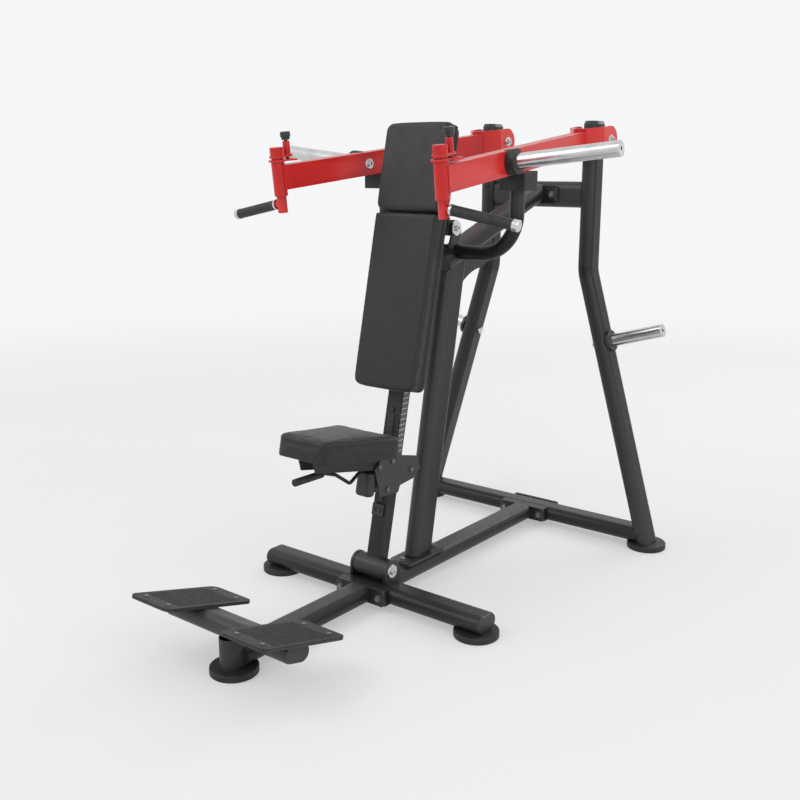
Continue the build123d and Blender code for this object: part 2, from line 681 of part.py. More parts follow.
# ---------------------------------------------------------------- seat carriage
seat_base = along_z(0, seat_front_y, seat_front_z, seat_tilt)
pin_spots = ((379.2, -31.0, 13.7), (280.4, -38.0, 20.7), (348.5, 81.0, 35.7))
lever_pivot = (lever_y, lever_z)


def under_seat(d):
    """A point on the seat's underside, d behind its front edge."""
    t = radians(seat_tilt)
    return (seat_front_y + d * cos(t), seat_front_z - d * sin(t))


def side_plate(points, x0, x1, mode=Mode.ADD):
    """Add or cut a plate drawn in side view, between two distances from the middle."""
    with BuildSketch(Plane.YZ.offset(x0)) as outline:
        with BuildLine():
            Polyline(*points, points[0])
        make_face()
    extrude(outline.sketch, amount=x1 - x0, mode=mode)


plate_points = [
    (-197, 488), (-170, 512), (-73, 512), (29, 487), (54, 437), (12, 408), (-62, 401), (-73, 378), (-171, 386),
]
channel_points = [under_seat(30), (-478, 543), (-187, 484), (-150, 482), under_seat(372)]
channel_inside = [under_seat(20), (-490, 530), (-187, 470), (-130, 470), under_seat(390)]
channel_inside = [(y, z - 4.5) for y, z in channel_inside]

with BuildPart() as seat_carriage:
    for x in (-carriage_in - carriage_t, carriage_in):
        side_plate(plate_points, x, x + carriage_t)
    side_plate(channel_points, -carriage_in, carriage_in)
    side_plate(channel_inside, 4 - carriage_in, carriage_in - 4, Mode.SUBTRACT)
    for s, t, r in pin_spots:
        rod(Plane(origin=on_column(s, t, -50).origin, z_dir=(1, 0, 0)), bolt_hole_r, 100, Mode.SUBTRACT)
    rod(along_x(-50, lever_y, lever_z), bolt_hole_r, 100, Mode.SUBTRACT)
    for x, d in seat_screws_at:
        rod(Plane(origin=seat_base.from_local_coords((x, d, -10)), z_dir=seat_base.z_dir), screw_hole_r, 14,
            Mode.SUBTRACT)
save(seat_carriage, "seat_carriage")

with BuildPart() as carriage_glides:
    for s, t, r in pin_spots:
        origin = on_column(s, t, -carriage_in).origin
        ring(Plane(origin=origin, z_dir=(1, 0, 0)), r, bolt_hole_r, 2 * carriage_in)
    for s, t, r in pin_spots[:2]:
        with BuildSketch(Plane(origin=on_column(s, t, -14).origin, z_dir=(1, 0, 0))) as groove:
            Circle(r + 2)
            Circle(r - 5.6, mode=Mode.SUBTRACT)
        extrude(groove.sketch, amount=28, mode=Mode.SUBTRACT)
save(carriage_glides, "carriage_glides")

outer_x = carriage_in + carriage_t
with BuildPart() as carriage_bolts:
    for y, z in [tuple(on_column(s, t).origin)[1:] for s, t, r in pin_spots] + [lever_pivot]:
        rod(along_x(-outer_x, y, z), bolt_r, 2 * outer_x)
        for side in (-1, 1):
            end = Plane(origin=(side * outer_x, y, z), x_dir=(0, 1, 0), z_dir=(side, 0, 0))
            with BuildSketch(end) as head:
                Circle(11)
            extrude(head.sketch, amount=6, taper=20)
save(carriage_bolts, "carriage_bolts")

with BuildPart() as latch_cover:
    block(on_column(latch_low, -109), 2 * carriage_in, 42, latch_len, 18)
    fillet(latch_cover.faces().sort_by(Axis((0, 0, 0), tuple(on_column(0).z_dir)))[0].edges(), radius=14)
save(latch_cover, "latch_cover")


def seat_corners(inset):
    """The corners of the seat's tapered outline, a distance inside its edge."""
    return [
        (inset - seat_front_half, inset),
        (seat_front_half - inset, inset),
        (seat_rear_half - inset, seat_l - inset),
        (inset - seat_rear_half, seat_l - inset),
    ]


with BuildPart() as seat_board:
    with BuildSketch(seat_base) as outline:
        with BuildLine():
            Polyline(*seat_corners(seat_board_inset), close=True)
        make_face()
        fillet(outline.vertices(), radius=16)
    extrude(outline.sketch, amount=seat_board_t)
    board_solid = seat_board.part
    for x, d in seat_screws_at:
        rod(Plane(origin=seat_base.from_local_coords((x, d, 0)), z_dir=seat_base.z_dir), screw_hole_r,
            seat_board_t, Mode.SUBTRACT)
save(seat_board, "seat_board")

# the cushion wraps round the board's edge
with BuildPart() as seat_cushion:
    with BuildSketch(seat_base) as outline:
        with BuildLine():
            Polyline(*seat_corners(0), close=True)
        make_face()
        fillet(outline.vertices(), radius=26)
    extrude(outline.sketch, amount=seat_board_t + seat_pad_t)
    face = seat_cushion.faces().sort_by(Axis((0, 0, 0), tuple(seat_base.z_dir)))[-1]
    fillet(face.edges(), radius=9)
    add(board_solid, mode=Mode.SUBTRACT)
save(seat_cushion, "seat_cushion")

with BuildPart() as seat_screws:
    for x, d in seat_screws_at:
        below = Plane(origin=seat_base.from_local_coords((x, d, -4.5)), z_dir=seat_base.z_dir)
        rod(below, screw_head_r, -4)
        rod(below, screw_r, 4.5 + seat_board_t)
save(seat_screws, "seat_screws")

# ---------------------------------------------------------------- release lever
with BuildLine(Plane.YZ) as lever_path:
    FilletPolyline(
        lever_pivot,
        (-240, 478),
        (-281, 455),
        (-350, 502),
        (-405, 521),
        (-538, 523),
        radius=14,
    )

lever_r = 6.0
with BuildPart() as seat_lever:
    with BuildSketch(Plane(origin=lever_path.line @ 0, z_dir=lever_path.line % 0)) as section:
        Circle(lever_r)
    sweep(section.sketch, path=lever_path.line)
    rod(along_x(-14, lever_y, lever_z), 12, 28)
    rod(along_x(-14, lever_y, lever_z), bolt_r + running, 28, Mode.SUBTRACT)
save(seat_lever, "seat_lever")

grip_line = lever_path.line
with BuildPart() as lever_grip:
    lever_end = Plane(origin=grip_line @ 1, z_dir=-(grip_line % 1))
    rod(lever_end.offset(-4), 12, 128)
    rod(lever_end, lever_r, 130, Mode.SUBTRACT)
    fillet(lever_grip.edges().filter_by(GeomType.CIRCLE).group_by(SortBy.RADIUS)[-1], radius=3)
save(lever_grip, "lever_grip")

# ---------------------------------------------------------------- press arms
fork_back, arm_end = 109.0, sleeve_back
toe = sleeve_x - post_x


def on_arm(side, x=0.0, back=0.0, up=0.0):
    """A plane square to an arm: x outwards from the pivot, back towards the handle, up from its middle."""
    base = along_z(side * post_x, pivot_y, pivot_z, -arm_pitch)
    return Plane(origin=base.from_local_coords((side * x, -back, up)), x_dir=(1, 0, 0), z_dir=base.z_dir)


def arm_outline(side, half):
    """Draw the arm's tube in plan, from the fork to the handle sleeve."""
    length = hypot(toe, arm_end - fork_back)
    angle = degrees(atan2(toe, arm_end - fork_back))
    with Locations(Location((side * toe / 2, -(arm_end + fork_back) / 2, 0), (0, 0, side * angle))):
        Rectangle(2 * half, length)


def arm_bar(side, half, height):
    """The solid outline of an arm's tube."""
    with BuildPart(mode=Mode.PRIVATE) as bar:
        with BuildSketch(on_arm(side, up=-height / 2)) as outline:
            arm_outline(side, half)
        extrude(outline.sketch, amount=height)
    return bar.part


def horn_plane(side, out, rise):
    """A plane facing out along a plate horn, a distance from the arm's middle."""
    base = on_arm(side)
    turn = atan2(toe, arm_end - fork_back)
    x = (horn_back - fork_back) * toe / (arm_end - fork_back)
    up = radians(rise)
    local = Vector(side * cos(turn) * cos(up), sin(turn) * cos(up), sin(up))
    direction = base.x_dir * local.X + base.y_dir * local.Y + base.z_dir * local.Z
    start = base.from_local_coords((side * x, -horn_back, 0))
    return Plane(origin=start + direction * out, z_dir=direction)


def arm_side(side, x=0.0):
    """A plane facing +X at an arm's pivot whose sketch x runs rearwards along the arm."""
    return along_x(side * post_x + x, pivot_y, pivot_z, -arm_pitch)


for name, side in (("left", -1), ("right", 1)):
    solid_arm = arm_bar(side, arm_w / 2, arm_h)
    spindle_low = on_arm(side, toe, arm_end, -60.3)

    with BuildPart() as arm:
        with BuildSketch(on_arm(side, up=-fork_h / 2)) as fork:
            with BuildLine():
                Polyline((-72, 55), (-72, -53), (-25, -109), (25, -109), (72, -53), (72, 55), close=True)
            make_face()
            with BuildLine():
                Polyline((-62, 56), (-62, -50), (-20, -98), (20, -98), (62, -50), (62, 56), close=True)
            make_face(mode=Mode.SUBTRACT)
        extrude(fork.sketch, amount=fork_h)
        with BuildSketch(arm_side(side, -80)) as fork_side:
            Circle(fork_h / 2)
            with Locations((-70, 0)):
                Rectangle(140, fork_h)
            Circle(pivot_hole_r, mode=Mode.SUBTRACT)
        extrude(fork_side.sketch, amount=160, mode=Mode.INTERSECT)
        add(solid_arm)
        add(arm_bar(side, arm_w / 2 - wall, arm_h - 2 * wall), mode=Mode.SUBTRACT)
        rod(horn_plane(side, -30, 0), pivot_hole_r, 60, Mode.SUBTRACT)
        # handle sleeve and index plate
        rod(on_arm(side, toe, arm_end, -60), sleeve_r, 112)
        with BuildSketch(on_arm(side, toe, arm_end, 52)) as index:
            Circle(30)
            with BuildSketch(mode=Mode.PRIVATE) as wedge:
                Circle(index_r + 4)
                with BuildLine():
                    Polyline((0, 0), (150, 105), (150, 400), (-150, 400), (-150, 105), close=True)
                make_face(mode=Mode.INTERSECT)
            add(wedge.sketch)
            with PolarLocations(pin_reach, 5, start_angle=90 - 2 * index_step, angular_range=4 * index_step,
                                endpoint=True):
                Circle(6.3, mode=Mode.SUBTRACT)
        extrude(index.sketch, amount=6)
        rod(on_arm(side, toe, arm_end, -60), spindle_r + running, 120, Mode.SUBTRACT)
    save(arm, f"{name}_arm")

    with BuildPart() as pivot_shaft:
        ring(along_x(side * post_x - fork_in, pivot_y, pivot_z), 15, pivot_hole_r, 2 * fork_in)
    save(pivot_shaft, f"{name}_pivot_shaft")

    with BuildPart() as plate_horn:
        ring(horn_plane(side, 20, horn_up), horn_root_r, horn_r - 4, collar_out - 20)
        ring(horn_plane(side, collar_out, horn_up), horn_r, horn_r - 4, horn_len + 25 - collar_out)
        rod(horn_plane(side, 20, horn_up), horn_root_r, 14)
        ring(horn_plane(side, 19 + horn_len, horn_up), horn_r, 6, 6)
        rod(horn_plane(side, -10, 0), pivot_bolt_r + 0.2, 80, Mode.SUBTRACT)
        add(solid_arm, mode=Mode.SUBTRACT)
    save(plate_horn, f"{name}_plate_horn")

    with BuildPart() as horn_collar:
        ring(horn_plane(side, 15, horn_up), 41, horn_root_r, collar_out - 15)
        add(solid_arm, mode=Mode.SUBTRACT)
    save(horn_collar, f"{name}_horn_collar")

    with BuildPart() as arm_bolts:
        for turn in (-1, 1):
            outside = Plane(origin=(side * post_x + turn * fork_out, pivot_y, pivot_z), x_dir=(0, 1, 0),
                            z_dir=(turn, 0, 0))
            socket_bolt(outside, 19, 11, 11, 40)
        inner = horn_plane(side, -arm_w / 2, 0)
        socket_bolt(Plane(origin=inner.origin, z_dir=-inner.z_dir), 19, 11, 11, 60)
    save(arm_bolts, f"{name}_arm_bolts")

    # swivelling handle: spindle, boss, bar, and the plate that carries the pull pin
    elbow = on_arm(side, toe, arm_end, -84).origin
    along_grip = Vector(side * 0.9790, 0.0963, -0.1796).normalized()
    with BuildPart() as handle:
        rod(spindle_low, spindle_r, 158)
        rod(spindle_low, 16.5, -55)
        rod(Plane(origin=elbow, z_dir=along_grip), 12.5, grip_start + grip_len)
        ring(on_arm(side, toe, arm_end, 58.3), 20, 10, 5.7)
        with BuildSketch(on_arm(side, toe, arm_end, 64)) as pin_plate:
            Circle(26)
            with Locations((0, pin_reach)):
                Circle(18)
            with BuildLine():
                Polyline((-26, 0), (26, 0), (18, pin_reach), (-18, pin_reach), close=True)
            make_face()
        extrude(pin_plate.sketch, amount=8)
        rod(on_arm(side, toe, arm_end, 72), sleeve_r, 26)
        rod(on_arm(side, toe, arm_end - pin_reach, 70), 12, 44)
        rod(on_arm(side, toe, arm_end - pin_reach, 60), 6 + running, 60, Mode.SUBTRACT)
    save(handle, f"{name}_handle")

    with BuildPart() as handle_grip:
        ring(Plane(origin=elbow + along_grip * 33, z_dir=along_grip), grip_r, 12.5, grip_start + grip_len - 33)
    save(handle_grip, f"{name}_handle_grip")

    with BuildPart() as handle_trim:
        ring(Plane(origin=elbow + along_grip * 25, z_dir=along_grip), grip_r + 1, 12.5, 8)
        rod(Plane(origin=elbow + along_grip * (grip_start + grip_len), z_dir=along_grip), grip_r + 1, 18)
        chamfer(handle_trim.faces().sort_by(Axis.X)[-1 if side > 0 else 0].edges(), length=2)
    save(handle_trim, f"{name}_handle_trim")

    with BuildPart() as pull_pin:
        rod(on_arm(side, toe, arm_end - pin_reach, 58.4), 6, 66)
        rod(on_arm(side, toe, arm_end - pin_reach, 118), 14, 8)
        rod(on_arm(side, toe, arm_end - pin_reach, 126), 17, 18)
        chamfer(pull_pin.edges().filter_by(GeomType.CIRCLE).group_by(SortBy.RADIUS)[-1], length=2)
    save(pull_pin, f"{name}_pull_pin")
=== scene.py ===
"""Plate-loaded shoulder press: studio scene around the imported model. Metres, the model's own frame."""
import json
import math

import bmesh
import bpy
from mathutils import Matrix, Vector
from mathutils.bvhtree import BVHTree


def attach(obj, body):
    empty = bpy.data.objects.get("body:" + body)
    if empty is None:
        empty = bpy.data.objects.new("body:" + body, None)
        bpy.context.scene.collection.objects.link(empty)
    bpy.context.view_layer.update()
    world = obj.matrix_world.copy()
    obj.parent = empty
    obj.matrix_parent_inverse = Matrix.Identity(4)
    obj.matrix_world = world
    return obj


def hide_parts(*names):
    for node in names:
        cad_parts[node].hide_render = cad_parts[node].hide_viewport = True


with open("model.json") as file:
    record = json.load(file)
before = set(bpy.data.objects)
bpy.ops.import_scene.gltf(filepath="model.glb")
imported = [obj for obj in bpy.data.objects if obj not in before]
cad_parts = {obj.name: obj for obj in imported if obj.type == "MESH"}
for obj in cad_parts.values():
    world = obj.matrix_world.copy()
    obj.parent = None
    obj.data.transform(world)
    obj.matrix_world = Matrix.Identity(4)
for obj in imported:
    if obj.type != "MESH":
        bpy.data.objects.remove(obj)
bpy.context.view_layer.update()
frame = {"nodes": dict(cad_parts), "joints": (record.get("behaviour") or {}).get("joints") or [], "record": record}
nodes = frame["nodes"]
scene = bpy.context.scene

# ---------------------------------------------------------------- places taken from the frame
joints = {joint["name"]: joint for joint in frame["joints"]}
up_column = Vector(joints["seat_height"]["axis"]).normalized()
across = Vector((1, 0, 0))
out_of_pads = up_column.cross(across).normalized()
seat_tilt = math.radians(7.8)
up_from_seat = Vector((0, math.sin(seat_tilt), math.cos(seat_tilt)))
back_along_seat = Vector((0, math.cos(seat_tilt), -math.sin(seat_tilt)))


# ---------------------------------------------------------------- material helpers
class Shader:
    """A material under construction: adds nodes and links with little writing."""

    def __init__(self, name):
        self.material = bpy.data.materials.new(name)
        self.material.use_nodes = True
        self.tree = self.material.node_tree
        self.surface = self.tree.nodes["Principled BSDF"]
        self.where = self.add("ShaderNodeTexCoord").outputs["Object"]

    def add(self, kind, links=(), **settings):
        node = self.tree.nodes.new(kind)
        for key, value in settings.items():
            setattr(node, key, value)
        for socket, source in dict(links).items():
            if isinstance(source, bpy.types.NodeSocket):
                self.tree.links.new(source, node.inputs[socket])
            else:
                node.inputs[socket].default_value = source
        return node

    def set(self, **values):
        for socket, value in values.items():
            socket = socket.replace("_", " ")
            if isinstance(value, bpy.types.NodeSocket):
                self.tree.links.new(value, self.surface.inputs[socket])
            else:
                self.surface.inputs[socket].default_value = value

    def noise(self, size, detail=4.0, stretch=(1, 1, 1)):
        """Noise whose features are about size metres across."""
        spread = self.add("ShaderNodeMapping", {"Vector": self.where, "Scale": stretch})
        return self.add(
            "ShaderNodeTexNoise",
            {"Vector": spread.outputs["Vector"], "Scale": 1 / size, "Detail": detail},
        ).outputs["Fac"]

    def ramp(self, factor, low, high, start=0.0, end=1.0):
        """Maps a factor between two colours or grey values."""
        node = self.add("ShaderNodeValToRGB", {"Fac": factor})
        stops = node.color_ramp.elements
        for stop, place, value in ((stops[0], start, low), (stops[1], end, high)):
            stop.position = place
            stop.color = (*value, 1) if isinstance(value, tuple) else (value, value, value, 1)
        return node.outputs["Color"]

    def mix(self, factor, low, high):
        node = self.add("ShaderNodeMix", data_type="RGBA")
        for index, value in ((0, factor), (6, low), (7, high)):
            if isinstance(value, bpy.types.NodeSocket):
                self.tree.links.new(value, node.inputs[index])
            else:
                node.inputs[index].default_value = (*value, 1) if isinstance(value, tuple) else value
        return node.outputs[2]

    def bump(self, height, depth, strength=1.0, under=None):
        """Bump of about depth metres, over an optional base normal."""
        links = {"Height": height, "Distance": depth, "Strength": strength}
        if under is not None:
            links["Normal"] = under
        self.set(Normal=self.add("ShaderNodeBump", links).outputs["Normal"])

    def soft_edges(self, radius):
        return self.add("ShaderNodeBevel", {"Radius": radius}, samples=4).outputs["Normal"]

    def edges(self, start=0.52, end=0.6):
        """A mask that is bright on sharply convex rims, where a highlight is painted."""
        sharp = self.add("ShaderNodeNewGeometry").outputs["Pointiness"]
        return self.ramp(sharp, 0.0, 1.0, start, end)


def powder_coat():
    """Satin black powder coat: fine orange peel; its outer rims smoother and slightly lighter, a painted
    highlight.
    """
    m = Shader("powder_coat_black")
    tone = m.ramp(m.noise(0.09, 3), (0.006, 0.0062, 0.0067), (0.0095, 0.0098, 0.0105), 0.3, 0.7)
    # painted highlight: a lighter grey on the outer rims of the coat
    m.set(Base_Color=m.mix(m.edges(), tone, (0.035, 0.035, 0.037)))
    m.set(Roughness=m.ramp(m.noise(0.02, 2), 0.34, 0.46, 0.3, 0.7), Metallic=0.0, Specular_IOR_Level=0.3)
    m.bump(m.noise(0.0014, 3), 0.00006, 0.5, m.soft_edges(0.0015))
    return m.material


def red_paint():
    """Gloss red paint under a clear coat."""
    m = Shader("gloss_paint_red")
    tone = m.ramp(m.noise(0.12, 2), (0.43, 0.006, 0.005), (0.49, 0.008, 0.007), 0.35, 0.65)
    # painted highlight: a brighter red on the outer rims
    m.set(Base_Color=m.mix(m.edges(0.53, 0.62), tone, (0.58, 0.03, 0.025)))
    m.set(Roughness=m.ramp(m.noise(0.03, 2), 0.28, 0.38, 0.3, 0.7), Specular_IOR_Level=0.3)
    m.set(Coat_Weight=0.15, Coat_Roughness=0.15)
    m.bump(m.noise(0.002, 2), 0.00004, 0.4, m.soft_edges(0.0018))
    return m.material


def bright_steel():
    """Chromed steel with faint turning lines."""
    m = Shader("bright_steel")
    m.set(Base_Color=m.ramp(m.noise(0.05, 2), (0.55, 0.55, 0.56), (0.66, 0.66, 0.67), 0.3, 0.7))
    m.set(Metallic=1.0, Roughness=m.ramp(m.noise(0.004, 5, (6, 1, 1)), 0.16, 0.3, 0.3, 0.75))
    m.bump(m.noise(0.0006, 2, (4, 1, 1)), 0.00001, 0.3, m.soft_edges(0.0008))
    return m.material


def dark_steel():
    """Black oxide on bolts, with a painted highlight lightening the corners."""
    m = Shader("dark_steel")
    tone = m.ramp(m.noise(0.01, 4), (0.028, 0.028, 0.03), (0.05, 0.05, 0.053), 0.3, 0.7)
    # painted highlight: a lighter grey on the corners of the bolts
    m.set(Base_Color=m.mix(m.edges(), tone, (0.2, 0.2, 0.21)), Metallic=0.75)
    m.set(Roughness=m.ramp(m.noise(0.004, 3), 0.32, 0.48, 0.3, 0.7))
    m.bump(m.noise(0.001, 3), 0.00003, 0.4, m.soft_edges(0.0008))
    return m.material


def vinyl():
    """Black upholstery vinyl: fine pebbled grain, painted darker in its hollows as shade, with soft creases."""
    m = Shader("upholstery_vinyl")
    pebbles_per_metre = 620.0
    cells = m.add("ShaderNodeTexVoronoi", {"Vector": m.where, "Scale": pebbles_per_metre, "Randomness": 0.9},
                  feature="DISTANCE_TO_EDGE").outputs["Distance"]
    pebble_relief_and_shade = m.ramp(cells, 0.0, 1.0, 0.0, 0.22)
    tone = m.ramp(m.noise(0.16, 3), (0.0105, 0.0107, 0.0115), (0.014, 0.0142, 0.0151), 0.3, 0.7)
    # painted shade: the hollows between the pebbles get a darker black
    m.set(Base_Color=m.mix(pebble_relief_and_shade, (0.007, 0.007, 0.0076), tone))
    m.set(Sheen_Weight=0.06, Sheen_Roughness=0.4)
    m.set(Roughness=m.ramp(m.noise(0.03, 4), 0.44, 0.54, 0.3, 0.7), Specular_IOR_Level=0.38)
    broad = m.add("ShaderNodeBump", {"Height": m.noise(0.05, 3), "Distance": 0.0008, "Strength": 0.2})
    m.bump(pebble_relief_and_shade, 0.00014, 0.6, broad.outputs["Normal"])
    return m.material


def rubber(name, grain, depth, roughness):
    """Black moulded rubber with a grain of the given size."""
    m = Shader(name)
    m.set(Base_Color=m.ramp(m.noise(0.03, 4), (0.011, 0.011, 0.012), (0.022, 0.022, 0.023), 0.3, 0.7))
    m.set(Roughness=m.ramp(m.noise(0.012, 3), roughness, roughness + 0.14, 0.3, 0.7), Specular_IOR_Level=0.4)
    m.bump(m.noise(grain, 4), depth, 0.6)
    return m.material


def plastic(name, low, high, roughness):
    """Moulded plastic with a fine spark-eroded texture."""
    m = Shader(name)
    m.set(Base_Color=m.ramp(m.noise(0.05, 3), (low,) * 3, (high,) * 3, 0.3, 0.7))
    m.set(Roughness=m.ramp(m.noise(0.01, 3), roughness, roughness + 0.12, 0.3, 0.7))
    m.bump(m.noise(0.0009, 3), 0.00004, 0.5, m.soft_edges(0.001))
    return m.material


def stained_board():
    """Black-stained plywood with long faint grain."""
    m = Shader("stained_board")
    grain = m.noise(0.006, 6, (6, 6, 0.6))
    m.set(Base_Color=m.ramp(grain, (0.014, 0.013, 0.012), (0.04, 0.036, 0.032), 0.3, 0.75))
    m.set(Roughness=m.ramp(grain, 0.55, 0.75, 0.3, 0.7))
    m.bump(grain, 0.0003, 0.4)
    return m.material


def scale_strip():
    """Dark guide plastic with evenly spaced pale height marks along the column."""
    m = Shader("guide_plastic")
    height = m.add("ShaderNodeSeparateXYZ", {"Vector": m.where}).outputs["Z"]
    mark_pitch, strip_x = 0.018, 0.0305    # marks up the column, and the strip's face on its right side
    step = m.add("ShaderNodeMath", {0: height, 1: 1 / mark_pitch}, operation="MULTIPLY").outputs[0]
    place = m.add("ShaderNodeMath", {0: step}, operation="FRACT").outputs[0]
    mark = m.ramp(place, 1.0, 0.0, 0.1, 0.14)
    tone = m.ramp(m.noise(0.02, 3), (0.05, 0.05, 0.052), (0.08, 0.08, 0.083), 0.3, 0.7)
    side = m.add("ShaderNodeSeparateXYZ", {"Vector": m.where}).outputs["X"]
    on_side = m.add("ShaderNodeMath", {0: side, 1: strip_x}, operation="GREATER_THAN").outputs[0]
    shown = m.add("ShaderNodeMath", {0: mark, 1: on_side}, operation="MULTIPLY").outputs[0]
    m.set(Base_Color=m.mix(shown, tone, (0.42, 0.42, 0.41)), Roughness=0.45)
    m.bump(m.noise(0.001, 3), 0.00003, 0.4)
    return m.material


looks = {
    "frame_paint": powder_coat(),
    "arm_paint": red_paint(),
    "bright_steel": bright_steel(),
    "dark_fixings": dark_steel(),
    "vinyl": vinyl(),
    "board": stained_board(),
    "black_rubber": rubber("moulded_rubber", 0.0012, 0.00008, 0.5),
    "black_plastic": plastic("moulded_plastic", 0.014, 0.024, 0.38),
    "slide_plastic": scale_strip(),
}
slots = {row["node"]: row["material_slot"] for row in frame["record"]["subparts"]}
for name, node in nodes.items():
    node.data.materials.clear()
    node.data.materials.append(looks[slots[name]])


# ---------------------------------------------------------------- pieces
def new_piece(name, mesh, material, body):
    """Put a mesh in the scene as a named piece that rides on a body."""
    piece = bpy.data.objects.new(name, mesh)
    scene.collection.objects.link(piece)
    mesh.materials.clear()
    mesh.materials.append(material)
    for face in mesh.polygons:
        face.use_smooth = True
    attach(piece, body)
    return piece


def apply_modifiers(piece):
    """Replace the piece's mesh with its evaluated one."""
    evaluated = piece.evaluated_get(bpy.context.evaluated_depsgraph_get())
    mesh = bpy.data.meshes.new_from_object(evaluated)
    piece.modifiers.clear()
    piece.data = mesh


def spans(node, axes):
    """Lowest and highest place of a CAD node along each axis."""
    places = [vertex.co for vertex in nodes[node].data.vertices]
    return [(min(p.dot(a) for p in places), max(p.dot(a) for p in places)) for a in axes]


voxel = 0.005
waist = 0.0015          # how far a pad's sides draw in at mid height
end_room = 0.003        # how much shorter a pad starts at each end, since it swells
crown_height = 0.005    # how far the middle of its face stands up
swell = 0.0025          # how far its cover may move
sim_frames = 20


def inflate(piece, held):
    """Blow the cover up a little with cloth pressure, the points in held staying where they are."""
    rest = [vertex.co.copy() for vertex in piece.data.vertices]
    group = piece.vertex_groups.new(name="held")
    group.add(held, 1.0, "REPLACE")
    cloth = piece.modifiers.new("cover", "CLOTH")
    cloth.settings.quality = 5
    cloth.settings.mass = 0.3
    cloth.settings.tension_stiffness = 25
    cloth.settings.compression_stiffness = 25
    cloth.settings.bending_stiffness = 2.0
    cloth.settings.vertex_group_mass = "held"
    cloth.settings.use_pressure = True
    cloth.settings.uniform_pressure_force = 4.0
    cloth.settings.effector_weights.gravity = 0.0
    cloth.point_cache.frame_start = 1
    cloth.point_cache.frame_end = sim_frames
    for number in range(1, sim_frames + 1):
        scene.frame_set(number)
    apply_modifiers(piece)
    scene.frame_set(1)
    for vertex, start in zip(piece.data.vertices, rest):
        move = vertex.co - start
        if move.length > swell:
            vertex.co = start + move.normalized() * swell


def pad(name, node, body, outward, along, held_depth):
    """A foam cushion: the CAD solid's shape with a crowned face, its cover blown up by cloth simulation.

    What lies less than held_depth from its back stays where it is in the simulation.
    """
    mesh = nodes[node].data.copy()
    piece = new_piece(name, mesh, looks["vinyl"], body)
    remesh = piece.modifiers.new("even", "REMESH")
    remesh.mode = "VOXEL"
    remesh.voxel_size = voxel
    apply_modifiers(piece)
    (low_x, high_x), (low_v, high_v), (back, front) = spans(node, (across, along, outward))
    middle = across * (low_x + high_x) / 2 + along * (low_v + high_v) / 2 + outward * back
    shell = bmesh.new()
    shell.from_mesh(piece.data)
    for vertex in shell.verts:
        away = vertex.co - middle
        x, v, depth = away.dot(across), away.dot(along), away.dot(outward)
        half_x, half_v = (high_x - low_x) / 2, (high_v - low_v) / 2
        # the face is crowned, and the sides draw in a little between the corners
        crown = (1 - min(1, abs(x) / half_x) ** 2.5) * (1 - min(1, abs(v) / half_v) ** 4)
        share = max(0.0, depth / (front - back))
        bow = math.sin(math.pi * min(1, share)) * (1 - min(1, abs(v) / half_v) ** 2)
        vertex.co -= across * x * (waist / half_x) * bow + along * v * (end_room / half_v)
        vertex.co += outward * share * share * crown_height * crown
    shell.to_mesh(piece.data)
    shell.free()
    held = [v.index for v in piece.data.vertices if (v.co - middle).dot(outward) < held_depth]
    inflate(piece, held)
    smooth = piece.modifiers.new("relax", "SMOOTH")
    smooth.factor = 0.5
    smooth.iterations = 4
    rounder = piece.modifiers.new("fine", "SUBSURF")
    rounder.levels = 1
    rounder.render_levels = 1
    apply_modifiers(piece)
    for face in piece.data.polygons:
        face.use_smooth = True
    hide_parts(node)
    return piece


def ring_of_hits(piece, node, along, outward, inset, turns=220):
    """Points round a cushion's sides, a distance behind its face, found by looking in from outside."""
    tree = BVHTree.FromObject(piece, bpy.context.evaluated_depsgraph_get())
    (low_x, high_x), (low_v, high_v), (back, front) = spans(node, (across, along, outward))
    middle = across * (low_x + high_x) / 2 + along * (low_v + high_v) / 2 + outward * (front - inset)
    half_x, half_v = (high_x - low_x) / 2, (high_v - low_v) / 2
    ring_scale, squareness = 1.3, 0.35     # a nearly rectangular ring, clear of the cushion
    aim_x, aim_v = half_x * 0.9, half_v * 0.95
    found = []
    for step in range(turns):
        angle = 2 * math.pi * step / turns
        c, s = math.cos(angle), math.sin(angle)
        x = math.copysign(abs(c) ** squareness, c) * half_x * ring_scale
        v = math.copysign(abs(s) ** squareness, s) * half_v * ring_scale
        start = middle + across * x + along * v
        aim = middle + across * max(-aim_x, min(aim_x, x)) + along * max(-aim_v, min(aim_v, v))
        place, normal, _, _ = tree.ray_cast(start, (aim - start).normalized())
        if place is not None:
            found.append(place + normal * 0.0003)
    return found


def cord_mesh(name, points, radius, sides=8):
    """A closed round welt through the points."""
    shell = bmesh.new()
    rings = []
    count = len(points)
    for i, point in enumerate(points):
        forward = (points[(i + 1) % count] - points[i - 1]).normalized()
        side = forward.orthogonal() if i == 0 else side - forward * side.dot(forward)
        side.normalize()
        up = forward.cross(side)
        rings.append([
            shell.verts.new(point + (side * math.cos(a) + up * math.sin(a)) * radius)
            for a in (2 * math.pi * k / sides for k in range(sides))
        ])
    for i in range(count):
        here, there = rings[i], rings[(i + 1) % count]
        # the last ring may have turned on the way round, so it meets the first at the nearest corner
        closing = i == count - 1
        shift = min(range(sides), key=lambda k: (here[0].co - there[k].co).length) if closing else 0
        for k in range(sides):
            k2 = (k + 1) % sides
            shell.faces.new((here[k], here[k2], there[(k2 + shift) % sides], there[(k + shift) % sides]))
    bmesh.ops.recalc_face_normals(shell, faces=shell.faces)
    mesh = bpy.data.meshes.new(name)
    shell.to_mesh(mesh)
    shell.free()
    return mesh


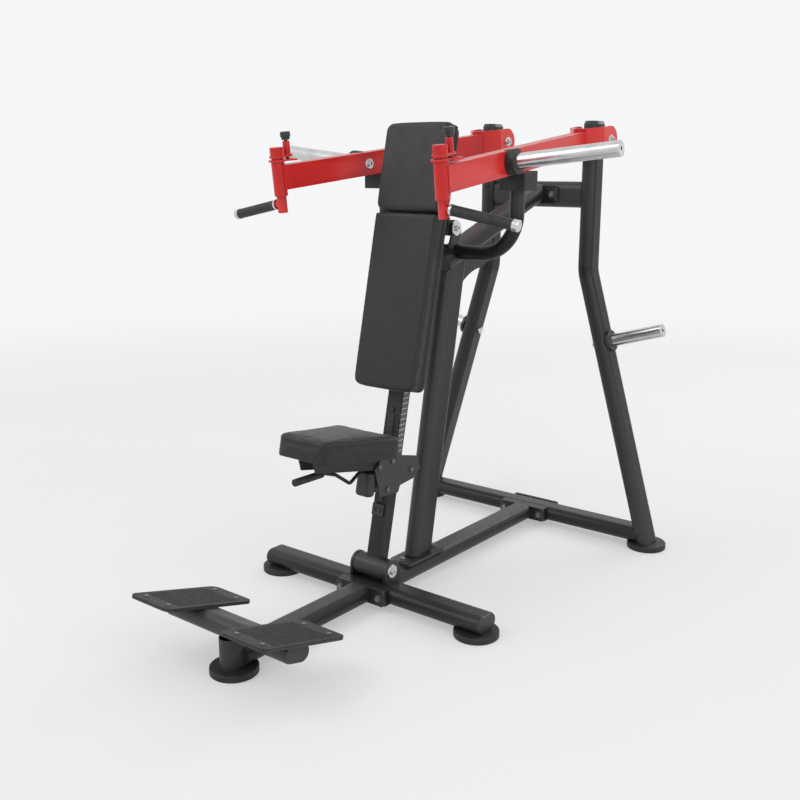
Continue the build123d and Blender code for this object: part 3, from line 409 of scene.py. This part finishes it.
cushions = {
    "back_pad": ("back_cushion", "seat_column", out_of_pads, up_column, 0.004),
    "head_pad": ("head_cushion", "seat_column", out_of_pads, up_column, 0.004),
    "seat_pad": ("seat_cushion", "carriage", up_from_seat, back_along_seat, 0.015),
}
welt_inset, welt_r = 0.011, 0.0011
for name, (node, body, outward, along, held_depth) in cushions.items():
    piece = pad(name, node, body, outward, along, held_depth)
    line = ring_of_hits(piece, node, along, outward, welt_inset)
    new_piece(f"{name}_welt", cord_mesh(f"{name}_welt", line, welt_r), looks["vinyl"], body)


# ---------------------------------------------------------------- floor, light and camera
floor_radius = 9.0
fade_start, fade_end = 1.8, 8.0    # from the machine's middle


def studio_floor():
    """A pale floor that fades into the backdrop well away from the machine."""
    shell = bmesh.new()
    bmesh.ops.create_circle(shell, cap_ends=True, segments=96, radius=floor_radius)
    mesh = bpy.data.meshes.new("floor")
    shell.to_mesh(mesh)
    shell.free()
    floor = bpy.data.objects.new("floor", mesh)
    scene.collection.objects.link(floor)
    m = Shader("pale_floor")
    m.set(Base_Color=m.ramp(m.noise(2.5, 2), (0.36, 0.36, 0.362), (0.38, 0.38, 0.382), 0.3, 0.7))
    # a little glow keeps the shadows as light as on a lit studio floor
    m.set(Roughness=0.8, Specular_IOR_Level=0.2)
    m.set(Emission_Color=(0.98, 0.98, 1, 1), Emission_Strength=0.39)
    m.bump(m.noise(0.3, 2), 0.0005, 0.1)
    distance = m.add("ShaderNodeVectorMath", {0: m.where}, operation="LENGTH").outputs["Value"]
    far = m.add("ShaderNodeMapRange", {"Value": distance, "From Min": fade_start, "From Max": fade_end},
                interpolation_type="SMOOTHSTEP").outputs["Result"]
    clear = m.add("ShaderNodeBsdfTransparent").outputs["BSDF"]
    blend = m.add("ShaderNodeMixShader", {0: far, 1: m.surface.outputs["BSDF"], 2: clear})
    m.tree.links.new(blend.outputs["Shader"], m.tree.nodes["Material Output"].inputs["Surface"])
    mesh.materials.append(m.material)


def area_light(name, place, aim, size, power):
    light = bpy.data.lights.new(name, "AREA")
    light.size = size
    light.energy = power
    lamp = bpy.data.objects.new(name, light)
    lamp.location = place
    lamp.rotation_euler = (Vector(aim) - Vector(place)).to_track_quat("-Z", "Y").to_euler()
    scene.collection.objects.link(lamp)


studio_floor()
middle_of_machine = (0, 0, 0.9)
area_light("key", (-2.4, -3.2, 4.2), middle_of_machine, size=2.6, power=80)
area_light("side", (4.0, -0.6, 2.8), middle_of_machine, size=2.6, power=45)
area_light("back", (0.5, 4.2, 3.6), middle_of_machine, size=2.4, power=55)
world = bpy.data.worlds.new("studio")
world.use_nodes = True
backdrop = world.node_tree.nodes["Background"]
backdrop.inputs["Color"].default_value = (0.97, 0.975, 0.985, 1)
backdrop.inputs["Strength"].default_value = 0.95
scene.world = world
scene.view_settings.view_transform = "Standard"

camera_turn, camera_pitch = math.radians(38.36), math.radians(13.28)
lens = bpy.data.cameras.new("camera")
lens.lens = 44.43
lens.sensor_width = 36
camera = bpy.data.objects.new("camera", lens)
camera.location = (2.067, -2.625, 1.476)
camera.rotation_euler = (math.pi / 2 - camera_pitch, 0, camera_turn)
scene.collection.objects.link(camera)
scene.camera = camera
